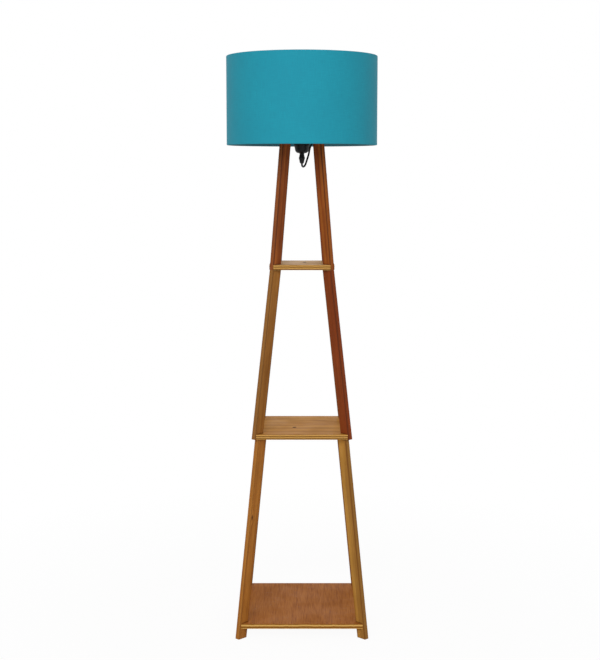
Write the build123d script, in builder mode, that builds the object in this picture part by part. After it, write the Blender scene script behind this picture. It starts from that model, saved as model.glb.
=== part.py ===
from build123d import *
from math import cos, pi, radians, sin, sqrt, tan
import os

# Floor lamp with three square plywood shelves on leaning wooden legs and a fabric drum shade.
# Millimetres. The origin is on the floor under the lamp's centre, +Z is up and -Y is the front.

# ---------------------------------------------------------------- driving dimensions
# shelves: square plywood, one edge to the front
shelf_thickness = 13.0
shelf_edge_chamfer = 0.8
base_shelf_width = 325.0
base_shelf_top = 39.0
middle_shelf_width = 249.0
middle_shelf_top = 516.0
top_shelf_width = 163.0
top_shelf_top = 938.0

# lead holes drilled through two of the shelves
lead_hole_diameter = 8.0
middle_lead_hole = (-19.0, -30.0)
top_lead_hole = (7.0, 13.0)

# legs: battens set on the shelves' diagonals, one batten for each corner of each tier
leg_depth = 27.0  # along the diagonal
leg_width = 14.0  # across the diagonal
leg_edge_chamfer = 1.2
housing_depth = 15.0  # how far a shelf's corner is let into the leg
base_leg_inset = 3.0  # from the shelf's sharp corner in to the leg's outer face
middle_leg_inset = 4.3
top_leg_inset = 7.4
lower_leg_step = 11.0  # how far the lower legs' heads stand inside the middle legs' feet
middle_leg_step = 0.0

# top plate, which carries the lampholder and the shade
plate_recess = 15.0  # underside of the plate above the shade's lower rim
plate_width = 112.0
plate_thickness = 13.0
plate_corner_chamfer = 6.0
plate_leg_inset = 7.6
fit_clearance = 0.2  # between pieces that seat in or on one another

# shade: a fabric drum on two wire rings
shade_underside = 1235.0
shade_diameter = 380.0
shade_height = 221.0
fabric_thickness = 1.2
hem_radius = 2.2
rim_wire_radius = 1.5
wire_sides = 6
seam_lap_width = 12.0
seam_lap_thickness = 0.5
frame_arm_radius = 1.5
frame_arm_count = 3
frame_arm_level_reach = 88.0
frame_arm_bend_radius = 14.0
frame_hub_width = 9.0

# lampholder, medium screw base
socket_radius = 13.3
socket_depth = 20.4
socket_shell_wall = 0.6
socket_floor_hole_radius = 8.0
skirt_radius = 19.6
skirt_wall = 2.0
skirt_height = 38.0
holder_foot_radius = 20.0
holder_foot_height = 5.0
flange_radius = 24.0
flange_thickness = 4.0
ledge_radius = 12.0
ledge_thickness = 2.0
insert_clearance = 0.2
insert_base_height = 15.0
insert_wall_height = 37.0
insert_recess_radius = 9.0
insert_recess_depth = 4.0
shade_ring_radius = 28.5
shade_ring_height = 7.0
shade_ring_rib_count = 18
shade_ring_rib_radius = 1.6
cap_height = 25.7
cap_mouth_radius = 8.6
cap_waist = (13.6, 5.3)  # radius, and height above the cap's lower edge
cap_shoulder = (18.2, 13.8)
cap_spigot_height = 3.8
neck_radius = 6.0
neck_height = 3.9
grip_height = 22.0
grip_top_radius = 6.6
grip_widest_radius = 8.3
grip_widest_drop = 9.6
grip_tip_radius = 4.2
grip_sides = 12
contact_width = 4.0
contact_thickness = 0.5
contact_foot = (-5.5, 4.5)  # ends of the strip that lies on the insert's floor
contact_bend = -1.5
contact_tip = -4.0

# fasteners, faceted with the holes that they fill
fastener_sides = 8
wood_screw_radius = 2.25
wood_screw_head_radius = 4.1
wood_screw_tip_radius = 0.4
base_screw_length = 62.0
foot_screw_inset = 5.6  # from the foot's inner face
plate_screw_length = 38.0
dowel_diameter = 5.0
dowel_length = 55.0
dowel_inset = 5.0  # from the end of the shelf's slot
terminal_screw_spacing = 16.0
terminal_screw_radius = 1.3
terminal_head_radius = 2.3
terminal_head_height = 1.6
terminal_screw_length = 8.0

# lead
cord_diameter = 4.8
cord_sides = 6
cord_clearance = 0.2
clip_length = 6.0
clip_wall = 1.2
clip_sides = 8
clip_foot_height = 2.4
clip_boss_width = 3.2
nail_radius = 0.7
nail_head_radius = 1.3
nail_head_height = 0.7
nail_length = 13.0

# coil of lead on the floor behind the base
coil_centre = (-58.0, 190.0)
coil_radius = 36.5
coil_pitch = 5.4
coil_half_turns_in = 6
coil_half_turns_out = 5

# switch on the lead
switch_centre = (55.0, 205.0)
switch_length = 64.0
switch_width = 26.0
switch_split_height = 8.0
switch_height = 16.0
switch_wall = 2.0
switch_window_length = 21.0
switch_window_width = 12.0
rocker_clearance = 0.5
rocker_pivot_height = 12.0
rocker_stub_radius = 1.4
rocker_tilt = 8.0
rocker_crown = 5.0
rocker_hollow = 1.0
rocker_side_height = 3.4
rocker_keel = 2.2
spring_reach = (1.4, 2.4, 3.2)  # crown, foot and end of the leaf spring, from its middle
spring_clearance = 0.8
bushing_reach = 14.0
bushing_radius = 4.5
bushing_tip_radius = 3.2
bushing_sides = 12
switch_end_sides = 12
switch_post_radius = 3.0
switch_post_spacing = 42.0
switch_screw_radius = 1.2
switch_screw_head_radius = 2.2
switch_screw_bite = 2.0

# plug on the end of the lead, two flat blades
plug_entry = (-98.0, 222.5, 6.5)
plug_relief_length = 18.0
plug_relief_tip_radius = 3.2
plug_relief_root_radius = 5.2
plug_body_length = 26.0
plug_body_width = 24.0
plug_body_height = 13.0
plug_corner = 3.6
plug_taper = 5.0
blade_spacing = 12.7
blade_thickness = 1.5
blade_width = 6.35
blade_length = 17.0

# routes of the lead: the points between its fastened ends, chosen by hand
cord_arc_share = 0.45  # of the shorter run beside a bend
held_bend_radius = 100.0  # where clips hold the lead to the leg
grip_to_leg_route = [
    (4.6, 5.0, 1178.6),
    (9.0, 10.2, 1185.0),
    (12.6, 15.2, 1197.6),
    (17.6, 21.8, 1213.2),
    (20.4, 33.6, 1230.2),
    (27.1, 45.0, 1242.8),
    (38.6, 59.0, 1243.8),
    (48.6, 68.1, 1235.6),
    (56.5, 70.8, 1220.6),
    (58.7, 67.4, 1202.4),
]
grip_drop = 8.0  # straight below the cord grip
leg_run_top = 1164.0
leg_run_lead_in = 18.0
meets_middle_leg = 860.0
leaves_middle_leg = 494.0
meets_lower_leg = 420.0
leg_run_bottom = 64.0
leg_to_switch_route = [
    (160.6, 168.5, 36.0),
    (153.4, 181.6, 18.4),
    (141.0, 194.5, 3.4),
    (126.0, 202.0, 2.8),
]
switch_to_coil_route = [
    (-17.0, 210.4, 3.4),
    (-28.0, 219.2, 2.4),
]
end_run = 12.0  # straight beside the switch, the coil and the plug

# ---------------------------------------------------------------- sizes that follow
corners = {
    "front_left": (-1, -1),
    "front_right": (1, -1),
    "rear_left": (-1, 1),
    "rear_right": (1, 1),
}
diagonal = sqrt(2)
middle_shelf_underside = middle_shelf_top - shelf_thickness
top_shelf_underside = top_shelf_top - shelf_thickness
plate_underside = shade_underside + plate_recess
plate_top = plate_underside + plate_thickness
cord_radius = cord_diameter / 2
cord_offset = cord_radius + cord_clearance

# reach: distance of a leg's outer face from the lamp's axis, along the diagonal
base_reach = base_shelf_width / diagonal - base_leg_inset
middle_reach = middle_shelf_width / diagonal - middle_leg_inset
top_reach = top_shelf_width / diagonal - top_leg_inset
plate_reach = plate_width / diagonal - plate_leg_inset


class Tier:
    """One set of four legs, standing on a shelf and carrying what is above it."""

    def __init__(self, name, shelf_top, reach, foot, head, head_reach, clip_heights):
        self.name = name
        self.shelf_top = shelf_top
        self.shelf_underside = shelf_top - shelf_thickness
        self.foot = foot
        self.head = head
        self.level = shelf_top - shelf_thickness / 2
        self.level_reach = reach
        self.lean = (reach - head_reach) / (head - self.level)
        self.slot_end = reach - leg_depth + housing_depth
        self.clip_heights = clip_heights

    def reach(self, height):
        return self.level_reach - self.lean * (height - self.level)


lower_tier = Tier("lower", base_shelf_top, base_reach, 0.0, middle_shelf_underside,
                  middle_reach - lower_leg_step, (380.0, 230.0, 80.0))
middle_tier = Tier("middle", middle_shelf_top, middle_reach, middle_shelf_underside,
                   top_shelf_underside, top_reach - middle_leg_step, (840.0, 695.0, 550.0))
upper_tier = Tier("upper", top_shelf_top, top_reach, top_shelf_underside, plate_underside,
                  plate_reach, (1160.0, 1060.0, 960.0))
tiers = (lower_tier, middle_tier, upper_tier)


def corner_plane(corner):
    """Upright plane on a shelf's diagonal: local x runs outwards and local y runs up."""
    outward = Vector(*corner, 0).normalized()
    return Plane(origin=(0, 0, 0), x_dir=outward, z_dir=outward.cross(Vector(0, 0, 1)))


def on_diagonal(corner, reach, height):
    """The point at a reach from the axis, along a shelf's diagonal."""
    return Vector(*corner, 0).normalized() * reach + Vector(0, 0, height)


def clip_plane(tier, height):
    """Plane across the rear right leg at a clip: local x across the leg, local y off its outer face."""
    outward = Vector(*corners["rear_right"], 0).normalized()
    along = (Vector(0, 0, 1) - outward * tier.lean).normalized()
    across = outward.cross(Vector(0, 0, 1))
    return Plane(on_diagonal(corners["rear_right"], tier.reach(height), height), x_dir=across, z_dir=along)


def finish(part, label):
    """Names a finished piece and writes its file."""
    part.label = label
    export_step(part, f"parts/{label}.step")


def spindle(plane, outline, sides):
    """A faceted spindle off a plane, from points of distance along it and radius."""
    with BuildPart() as turned:
        for (near, near_radius), (far, far_radius) in zip(outline, outline[1:]):
            if near == far:
                continue
            with BuildSketch(plane.offset(near)):
                RegularPolygon(near_radius, sides)
            with BuildSketch(plane.offset(far)):
                RegularPolygon(far_radius, sides)
            loft(ruled=True)
    return turned.part


os.makedirs("parts", exist_ok=True)

# ---------------------------------------------------------------- screws, dowels and nails
dowel_radius = dowel_diameter / 2
dowel_reach = {tier.name: tier.slot_end - dowel_inset for tier in tiers}
base_screw_reach = lower_tier.reach(0) - leg_depth + foot_screw_inset
plate_screw_reach = plate_reach - leg_depth / 2
clip_bore = cord_radius + cord_clearance
nail_across = clip_bore + clip_wall + nail_head_radius + fit_clearance


def nail_plane(tier, height):
    """Plane on the leg's outer face where a clip's nail goes in: local z points off the leg."""
    clip = clip_plane(tier, height)
    return Plane(clip.from_local_coords((nail_across, 0, 0)), x_dir=clip.x_dir, z_dir=clip.y_dir)


def wood_screw(origin, direction, length):
    """Countersunk screw with the face of its head at a point."""
    head_height = wood_screw_head_radius - wood_screw_radius
    return spindle(Plane(origin, x_dir=(1, 0, 0), z_dir=direction), [
        (0, wood_screw_head_radius),
        (head_height, wood_screw_radius),
        (length - 2 * wood_screw_radius, wood_screw_radius),
        (length, wood_screw_tip_radius),
    ], fastener_sides)


with BuildPart() as base_screws:
    for corner in corners.values():
        add(wood_screw(on_diagonal(corner, base_screw_reach, 0), (0, 0, 1), base_screw_length))
finish(base_screws.part, "base_screws")

with BuildPart() as plate_screws:
    for corner in corners.values():
        add(wood_screw(on_diagonal(corner, plate_screw_reach, plate_top), (0, 0, -1), plate_screw_length))
finish(plate_screws.part, "plate_screws")


def make_dowels(tier):
    """Plain dowels, one at each corner, through a shelf and into the legs above and below it."""
    with BuildPart() as dowels:
        with BuildSketch(Plane.XY.offset(tier.level)):
            for corner in corners.values():
                with Locations(Vector(*corner, 0).normalized() * dowel_reach[tier.name]):
                    RegularPolygon(dowel_radius, fastener_sides)
        extrude(amount=dowel_length / 2, both=True)
    return dowels.part


middle_shelf_dowels = make_dowels(middle_tier)
finish(middle_shelf_dowels, "middle_shelf_dowels")
top_shelf_dowels = make_dowels(upper_tier)
finish(top_shelf_dowels, "top_shelf_dowels")

with BuildPart() as clip_nails:
    for tier in tiers:
        for height in tier.clip_heights:
            add(spindle(nail_plane(tier, height).offset(clip_foot_height), [
                (-nail_length, nail_radius),
                (0, nail_radius),
                (0, nail_head_radius),
                (nail_head_height, nail_head_radius),
            ], fastener_sides))
finish(clip_nails.part, "clip_nails")

# ---------------------------------------------------------------- legs
leg_fasteners = {
    "lower": (base_screws.part, middle_shelf_dowels),
    "middle": (middle_shelf_dowels, top_shelf_dowels),
    "upper": (top_shelf_dowels, plate_screws.part),
}


def make_leg(tier, corner_name):
    corner = corners[corner_name]
    foot_reach = tier.reach(tier.foot)
    head_reach = tier.reach(tier.head)
    with BuildPart() as leg:
        with BuildSketch(corner_plane(corner)):
            with BuildLine():
                Polyline(
                    (foot_reach, tier.foot),
                    (head_reach, tier.head),
                    (head_reach - leg_depth, tier.head),
                    (foot_reach - leg_depth, tier.foot),
                    close=True,
                )
            make_face()
        extrude(amount=leg_width / 2, both=True)
        chamfer(leg.edges().filter_by(lambda edge: abs((edge % 0.5).Z) > 0.9), leg_edge_chamfer)
        # housing for the shelf's corner, open at the inner face
        with BuildSketch(corner_plane(corner)):
            with Locations((tier.slot_end - leg_depth, tier.level)):
                Rectangle(2 * leg_depth, shelf_thickness)
        extrude(amount=leg_width, both=True, mode=Mode.SUBTRACT)
        add(leg_fasteners[tier.name], mode=Mode.SUBTRACT)
        if corner_name == "rear_right":
            add(clip_nails.part, mode=Mode.SUBTRACT)
    return leg.part


for tier in tiers:
    for corner_name in corners:
        finish(make_leg(tier, corner_name), f"{tier.name}_leg_{corner_name}")


# ---------------------------------------------------------------- shelves
def make_shelf(width, tier, fasteners, lead_hole=None):
    with BuildPart() as shelf:
        with BuildSketch(Plane.XY.offset(tier.shelf_underside)):
            Rectangle(width, width)
        extrude(amount=shelf_thickness)
        chamfer(shelf.edges().filter_by(Plane.XY), shelf_edge_chamfer)
        # slots that let each leg through on the diagonal
        for corner in corners.values():
            outward = Vector(*corner, 0).normalized()
            with BuildSketch(Plane((0, 0, tier.shelf_underside), x_dir=outward, z_dir=(0, 0, 1))):
                with Locations((tier.slot_end, 0)):
                    Rectangle(leg_depth, leg_width, align=(Align.MIN, Align.CENTER))
            extrude(amount=shelf_thickness, mode=Mode.SUBTRACT)
        add(fasteners, mode=Mode.SUBTRACT)
        if lead_hole:
            with Locations((*lead_hole, tier.shelf_top)):
                Hole(lead_hole_diameter / 2, shelf_thickness)
    return shelf.part


finish(make_shelf(base_shelf_width, lower_tier, base_screws.part), "base_shelf")
finish(make_shelf(middle_shelf_width, middle_tier, middle_shelf_dowels, middle_lead_hole), "middle_shelf")
finish(make_shelf(top_shelf_width, upper_tier, top_shelf_dowels, top_lead_hole), "top_shelf")

# ---------------------------------------------------------------- top plate
plate_bore_radius = skirt_radius + fit_clearance
with BuildPart() as top_plate:
    with BuildSketch(Plane.XY.offset(plate_underside)):
        Rectangle(plate_width, plate_width)
    extrude(amount=plate_thickness)
    chamfer(top_plate.edges().filter_by(Axis.Z), plate_corner_chamfer)
    with Locations((0, 0, plate_top)):
        Hole(plate_bore_radius, plate_thickness)
    add(plate_screws.part, mode=Mode.SUBTRACT)
finish(top_plate.part, "top_plate")


# ---------------------------------------------------------------- lampholder
def revolved(outline):
    """A solid turned about the lamp's axis from points of radius and height."""
    with BuildPart() as turned:
        with BuildSketch(Plane.XZ):
            with BuildLine():
                Polyline(*outline, close=True)
            make_face()
        revolve(axis=Axis.Z)
    return turned.part


skirt_bore = skirt_radius - skirt_wall
holder_foot = plate_underside - flange_thickness - holder_foot_height
ledge_top = plate_underside - flange_thickness + ledge_thickness / 2
ledge_bottom = ledge_top - ledge_thickness
skirt_top = plate_underside + skirt_height
lampholder_body = revolved([
    (skirt_bore, holder_foot),
    (holder_foot_radius, holder_foot),
    (holder_foot_radius, plate_underside - flange_thickness),
    (flange_radius, plate_underside - flange_thickness),
    (flange_radius, plate_underside),
    (skirt_radius, plate_underside),
    (skirt_radius, skirt_top),
    (skirt_bore, skirt_top),
    (skirt_bore, ledge_top),
    (ledge_radius, ledge_top),
    (ledge_radius, ledge_bottom),
    (skirt_bore, ledge_bottom),
])
finish(lampholder_body, "lampholder_body")

insert_radius = skirt_bore - insert_clearance
insert_floor = ledge_top + insert_base_height
shell_floor = insert_floor + insert_recess_depth
shell_outer = socket_radius + socket_shell_wall
insert_blank = revolved([
    (0, ledge_top),
    (insert_radius, ledge_top),
    (insert_radius, ledge_top + insert_wall_height),
    (shell_outer, ledge_top + insert_wall_height),
    (shell_outer, shell_floor),
    (insert_recess_radius, shell_floor),
    (insert_recess_radius, insert_floor),
    (0, insert_floor),
])
with BuildPart() as terminal_screws:
    with BuildSketch(Plane.XY.offset(ledge_top)):
        with GridLocations(terminal_screw_spacing, 0, 2, 1):
            RegularPolygon(terminal_screw_radius, fastener_sides)
    extrude(amount=terminal_screw_length)
    with BuildSketch(Plane.XY.offset(ledge_top)):
        with GridLocations(terminal_screw_spacing, 0, 2, 1):
            RegularPolygon(terminal_head_radius, fastener_sides)
    extrude(amount=-terminal_head_height)
finish(terminal_screws.part, "terminal_screws")

with BuildPart() as lampholder_insert:
    add(insert_blank)
    add(terminal_screws.part, mode=Mode.SUBTRACT)
finish(lampholder_insert.part, "lampholder_insert")

shell_top = shell_floor + socket_shell_wall + socket_depth
socket_shell = revolved([
    (socket_floor_hole_radius, shell_floor),
    (shell_outer, shell_floor),
    (shell_outer, shell_top),
    (socket_radius, shell_top),
    (socket_radius, shell_floor + socket_shell_wall),
    (socket_floor_hole_radius, shell_floor + socket_shell_wall),
])
finish(socket_shell, "socket_shell")

contact_level = insert_floor + contact_thickness / 2
with BuildPart() as centre_contact:
    with BuildSketch(Plane.XZ):
        with BuildLine():
            spring_line = Polyline(
                (contact_foot[0], contact_level),
                (contact_foot[1], contact_level),
                (contact_bend, contact_level + insert_recess_depth - 2.5 * contact_thickness),
                (contact_tip, contact_level + insert_recess_depth - 3.5 * contact_thickness),
            )
            offset(spring_line, contact_thickness / 2, side=Side.BOTH, kind=Kind.INTERSECTION)
        make_face()
    extrude(amount=contact_width / 2, both=True)
finish(centre_contact.part, "centre_contact")

hub_thickness = 2 * frame_arm_radius
hub_top = plate_top + hub_thickness
with BuildPart() as shade_ring:
    with BuildSketch(Plane.XY.offset(hub_top)):
        RegularPolygon(shade_ring_radius, shade_ring_rib_count)
        with PolarLocations(shade_ring_radius, shade_ring_rib_count):
            RegularPolygon(shade_ring_rib_radius, 4)
        Circle(plate_bore_radius, mode=Mode.SUBTRACT)
    extrude(amount=shade_ring_height)
finish(shade_ring.part, "shade_ring")

# dome that closes the lampholder below, with the neck that the cord grip screws on
cap_mouth = holder_foot - cap_height
grip_top = cap_mouth - neck_height
grip_tip = grip_top - grip_height
spigot_radius = skirt_bore - insert_clearance
lampholder_cap = revolved([
    (0, grip_top),
    (neck_radius, grip_top),
    (neck_radius, cap_mouth),
    (cap_mouth_radius, cap_mouth),
    (cap_waist[0], cap_mouth + cap_waist[1]),
    (cap_shoulder[0], cap_mouth + cap_shoulder[1]),
    (holder_foot_radius, holder_foot),
    (spigot_radius, holder_foot),
    (spigot_radius, holder_foot + cap_spigot_height),
    (0, holder_foot + cap_spigot_height),
])
finish(lampholder_cap, "lampholder_cap")

cord_grip = spindle(Plane((0, 0, grip_top), z_dir=(0, 0, -1)), [
    (0, grip_top_radius),
    (grip_widest_drop / 2, grip_widest_radius),
    (grip_widest_drop, grip_widest_radius),
    (grip_height, grip_tip_radius),
], grip_sides)
finish(cord_grip, "cord_grip")

# ---------------------------------------------------------------- shade
shade_radius = shade_diameter / 2
shade_top = shade_underside + shade_height
hem_heights = (shade_underside + hem_radius, shade_top - hem_radius)
rim_wire_reach = shade_radius - hem_radius * cos(pi / wire_sides)
arm_level = plate_top + frame_arm_radius
hub_radius = plate_bore_radius + frame_hub_width


arm_headings = [90 + index * 360 / frame_arm_count for index in range(frame_arm_count)]

with BuildPart() as frame_arms:
    # level over the top plate, then sloping down to the lower rim wire
    for heading in arm_headings:
        outward = Vector(cos(radians(heading)), sin(radians(heading)), 0)
        with BuildLine() as arm_line:
            FilletPolyline(
                outward * (hub_radius - frame_hub_width / 2) + Vector(0, 0, arm_level),
                outward * frame_arm_level_reach + Vector(0, 0, arm_level),
                outward * rim_wire_reach + Vector(0, 0, hem_heights[0]),
                radius=frame_arm_bend_radius,
            )
        with BuildSketch(Plane(arm_line.line @ 0, z_dir=arm_line.line % 0)):
            RegularPolygon(frame_arm_radius, wire_sides)
        sweep(path=arm_line.line)


def rim_wire(height):
    with BuildPart() as wire:
        with BuildSketch(Plane.XZ):
            with Locations((rim_wire_reach, height)):
                RegularPolygon(rim_wire_radius, wire_sides, rotation=180 / wire_sides)
        revolve(axis=Axis.Z)
    return wire.part


lower_rim_wire = rim_wire(hem_heights[0])
with BuildPart() as shade_frame:
    with BuildSketch(Plane.XY.offset(plate_top)):
        Circle(hub_radius)
        Circle(plate_bore_radius, mode=Mode.SUBTRACT)
    extrude(amount=hub_thickness)
    add(frame_arms.part)
    add(lower_rim_wire)
finish(shade_frame.part, "shade_frame")

finish(rim_wire(hem_heights[1]), "shade_top_wire")

# fabric drum with a hem rolled round each rim wire
with BuildPart() as shade_fabric:
    with BuildSketch(Plane.XZ):
        with Locations((shade_radius, (shade_underside + shade_top) / 2)):
            Rectangle(fabric_thickness, shade_height - 2 * hem_radius, align=(Align.MAX, Align.CENTER))
        for height in hem_heights:
            with Locations((rim_wire_reach, height)):
                RegularPolygon(hem_radius, wire_sides, rotation=180 / wire_sides)
                RegularPolygon(rim_wire_radius, wire_sides, rotation=180 / wire_sides, mode=Mode.SUBTRACT)
    revolve(axis=Axis.Z)
    # lap where the ends of the fabric are glued, at the back
    with Locations((0, shade_radius, (shade_underside + shade_top) / 2)):
        Box(seam_lap_width, 2 * seam_lap_thickness, hem_heights[1] - hem_heights[0])
    # the lower hem is snipped where the arms come through it
    with Locations((0, 0, hem_heights[0])):
        with PolarLocations(rim_wire_reach + frame_arm_radius / 2, frame_arm_count, arm_headings[0]):
            Box(3 * hem_radius, 2 * (frame_arm_radius + fit_clearance), 4 * hem_radius,
                align=(Align.MAX, Align.CENTER, Align.CENTER), mode=Mode.SUBTRACT)
finish(shade_fabric.part, "shade_fabric")

# ---------------------------------------------------------------- lead
def cord_on_leg(tier, height):
    """Centre of the lead where it lies on the outer face of the rear right leg."""
    offset_level = cord_offset * sqrt(1 + tier.lean ** 2)
    return on_diagonal(corners["rear_right"], tier.reach(height) + offset_level, height)


cord_section = cord_sides / 2 * cord_radius ** 2 * sin(2 * pi / cord_sides)


def corner_radii(points, largest):
    """The largest arcs that the runs beside each point allow."""
    radii = []
    for before, here, after in zip(points, points[1:], points[2:]):
        turn = (here - before).get_angle(after - here)
        shorter = min((here - before).length, (after - here).length)
        radii.append(min(largest, cord_arc_share * shorter / tan(radians(turn / 2))))
    return radii


def make_tube(label, route, largest=1000.0):
    points = [Vector(*point) for point in route]
    radii = corner_radii(points, largest)
    with BuildPart() as tube:
        with BuildLine() as line:
            FilletPolyline(*points, radius=radii)
        path = line.wire()
        with BuildSketch(Plane(path @ 0, z_dir=path % 0)):
            RegularPolygon(cord_radius, cord_sides)
        sweep(path=path)
    expected = cord_section * path.length
    print(label, "length", round(path.length, 1), "volume ratio", round(tube.part.volume / expected, 4),
          "radii", [round(radius, 1) for radius in radii])
    finish(tube.part, label)


def coil_turns():
    """Half turns of a flat spiral in and out again, a layer apart, with straight ends."""
    x, y = coil_centre
    low, high = cord_radius, cord_radius + coil_pitch
    here = Vector(x, y + coil_radius, low)
    heading = Vector(-1, 0, 0)
    edges = [Line(here - heading * cord_diameter, here)]
    radius = coil_radius - coil_pitch / 4
    for index in range(coil_half_turns_in):
        side = -1 if index % 2 == 0 else 1
        after = here + Vector(0, 2 * radius * side, 0)
        edges.append(TangentArc(here, after, tangent=heading))
        here, heading = after, -heading
        radius -= coil_pitch / 2
    # climb: two quarter turns up to the second layer
    side = -1 if coil_half_turns_in % 2 == 0 else 1
    after = Vector(x, here.Y + 2 * radius * side, high)
    across = after - here
    middle = (here + after) / 2 + heading * (across.length / 2)
    edges.append(TangentArc(here, middle, tangent=heading))
    edges.append(TangentArc(middle, after, tangent=across))
    here, heading = after, -heading
    for index in range(coil_half_turns_out):
        side = -side
        radius += coil_pitch / 2
        after = here + Vector(0, 2 * radius * side, 0)
        edges.append(TangentArc(here, after, tangent=heading))
        here, heading = after, -heading
    edges.append(Line(here, here + heading * cord_diameter))
    return Wire(edges)


coil_path = coil_turns()
with BuildPart() as cord_coil:
    with BuildSketch(Plane(coil_path @ 0, z_dir=coil_path % 0)):
        RegularPolygon(cord_radius, cord_sides)
    sweep(path=coil_path)
coil_samples = 600
coil_points = [coil_path @ (index / coil_samples) for index in range(coil_samples + 1)]
skip = int(3 * cord_diameter * coil_samples / coil_path.length)
least_gap = min(
    (here - there).length for i, here in enumerate(coil_points) for there in coil_points[i + skip:]
) - cord_diameter
print("cord_coil length", round(coil_path.length, 1), "least gap", round(least_gap, 2),
      "volume ratio", round(cord_coil.part.volume / (cord_section * coil_path.length), 4))
finish(cord_coil.part, "cord_coil")

switch_x, switch_y = switch_centre
cord_level = switch_split_height
switch_reach = switch_length / 2 + bushing_reach
left = Vector(-end_run, 0, 0)
leg_top = cord_on_leg(upper_tier, leg_run_top)
leg_bottom = cord_on_leg(lower_tier, leg_run_bottom)
switch_entry = Vector(switch_x + switch_reach, switch_y, cord_level)
switch_exit = Vector(switch_x - switch_reach, switch_y, cord_level)
plug_end = Vector(*plug_entry)
make_tube("cord_loop", [
    (0, 0, grip_tip),
    (0, 0, grip_tip - grip_drop),
    *grip_to_leg_route,
    cord_on_leg(upper_tier, leg_run_top + leg_run_lead_in),
    leg_top,
])
make_tube("cord_leg_run", [
    leg_top,
    cord_on_leg(upper_tier, upper_tier.foot),
    cord_on_leg(middle_tier, meets_middle_leg),
    cord_on_leg(middle_tier, leaves_middle_leg),
    cord_on_leg(lower_tier, meets_lower_leg),
    leg_bottom,
], held_bend_radius)
make_tube("cord_floor_run", [
    leg_bottom,
    cord_on_leg(lower_tier, leg_run_bottom - end_run),
    *leg_to_switch_route,
    switch_entry - left,
    switch_entry,
])
make_tube("cord_to_coil", [
    switch_exit,
    switch_exit + left,
    *switch_to_coil_route,
    coil_path @ 0 - left,
    coil_path @ 0,
])
make_tube("cord_to_plug", [
    coil_path @ 1,
    coil_path @ 1 + left,
    plug_end - left,
    plug_end,
])

# ---------------------------------------------------------------- clips that hold the lead to the rear right leg
clip_turn = 180 / clip_sides  # a flat faces the leg
with BuildPart() as cord_clips:
    for tier in tiers:
        for height in tier.clip_heights:
            with BuildSketch(clip_plane(tier, height)):
                with Locations((0, cord_offset)):
                    RegularPolygon(clip_bore + clip_wall, clip_sides, major_radius=False, rotation=clip_turn)
                Rectangle(2 * (clip_bore + clip_wall), cord_offset, align=(Align.CENTER, Align.MIN))
                Rectangle(nail_across + clip_boss_width / 2, clip_foot_height, align=(Align.MIN, Align.MIN))
                with Locations((0, cord_offset)):
                    RegularPolygon(clip_bore, clip_sides, major_radius=False, rotation=clip_turn,
                                   mode=Mode.SUBTRACT)
                Rectangle(2 * clip_bore, cord_offset, align=(Align.CENTER, Align.MIN), mode=Mode.SUBTRACT)
                Rectangle(leg_width + leg_depth, leg_width, align=(Align.CENTER, Align.MIN), mode=Mode.INTERSECT)
            extrude(amount=clip_length / 2, both=True)
    add(clip_nails.part, mode=Mode.SUBTRACT)
finish(cord_clips.part, "cord_clips")

# ---------------------------------------------------------------- switch on the lead
post_inner = switch_window_width / 2 + rocker_clearance


def switch_outline(height, inset=0.0):
    """The switch's rounded outline at a height, drawn in by the wall where it is hollow."""
    with BuildSketch(Plane.XY.offset(height)) as outline:
        with Locations((switch_x, switch_y)):
            Rectangle(switch_length - switch_width, switch_width - 2 * inset)
            with GridLocations(switch_length - switch_width, 0, 2, 1):
                RegularPolygon(switch_width / 2 - inset, switch_end_sides, major_radius=False,
                               rotation=180 / switch_end_sides)
    return outline.sketch


def posts(radius, bottom, top, spacing=switch_post_spacing):
    """A pair of faceted posts or holes along the switch."""
    with BuildPart() as pair:
        with BuildSketch(Plane.XY.offset(bottom)):
            with Locations((switch_x, switch_y)):
                with GridLocations(spacing, 0, 2, 1):
                    RegularPolygon(radius, fastener_sides)
        extrude(amount=top - bottom)
    return pair.part


# screws that hold the two halves of the switch together
screw_head_top = switch_wall
with BuildPart() as switch_screws:
    add(posts(switch_screw_head_radius, switch_wall / 4, screw_head_top))
    add(posts(switch_screw_radius, screw_head_top, switch_split_height + switch_screw_bite))
finish(switch_screws.part, "switch_screws")

# bushings that relieve the lead at both ends of the switch
bushing_inner = switch_length / 2 - 2 * switch_wall
with BuildPart() as switch_bushings:
    for side in (-1, 1):
        add(spindle(Plane((switch_x, switch_y, cord_level), x_dir=(0, 1, 0), z_dir=(side, 0, 0)), [
            (bushing_inner, bushing_radius),
            (switch_length / 2 + switch_wall / 2, bushing_radius),
            (switch_length / 2 + bushing_reach, bushing_tip_radius),
        ], bushing_sides))
finish(switch_bushings.part, "switch_bushings")

with BuildPart() as switch_base:
    extrude(switch_outline(0), amount=switch_split_height)
    extrude(switch_outline(switch_wall, switch_wall), amount=switch_split_height, mode=Mode.SUBTRACT)
    add(posts(switch_post_radius, 0, switch_split_height))
    add(posts(switch_screw_head_radius, 0, screw_head_top), mode=Mode.SUBTRACT)
    add(posts(switch_screw_radius, screw_head_top, switch_split_height), mode=Mode.SUBTRACT)
    add(switch_bushings.part, mode=Mode.SUBTRACT)
finish(switch_base.part, "switch_base")

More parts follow.
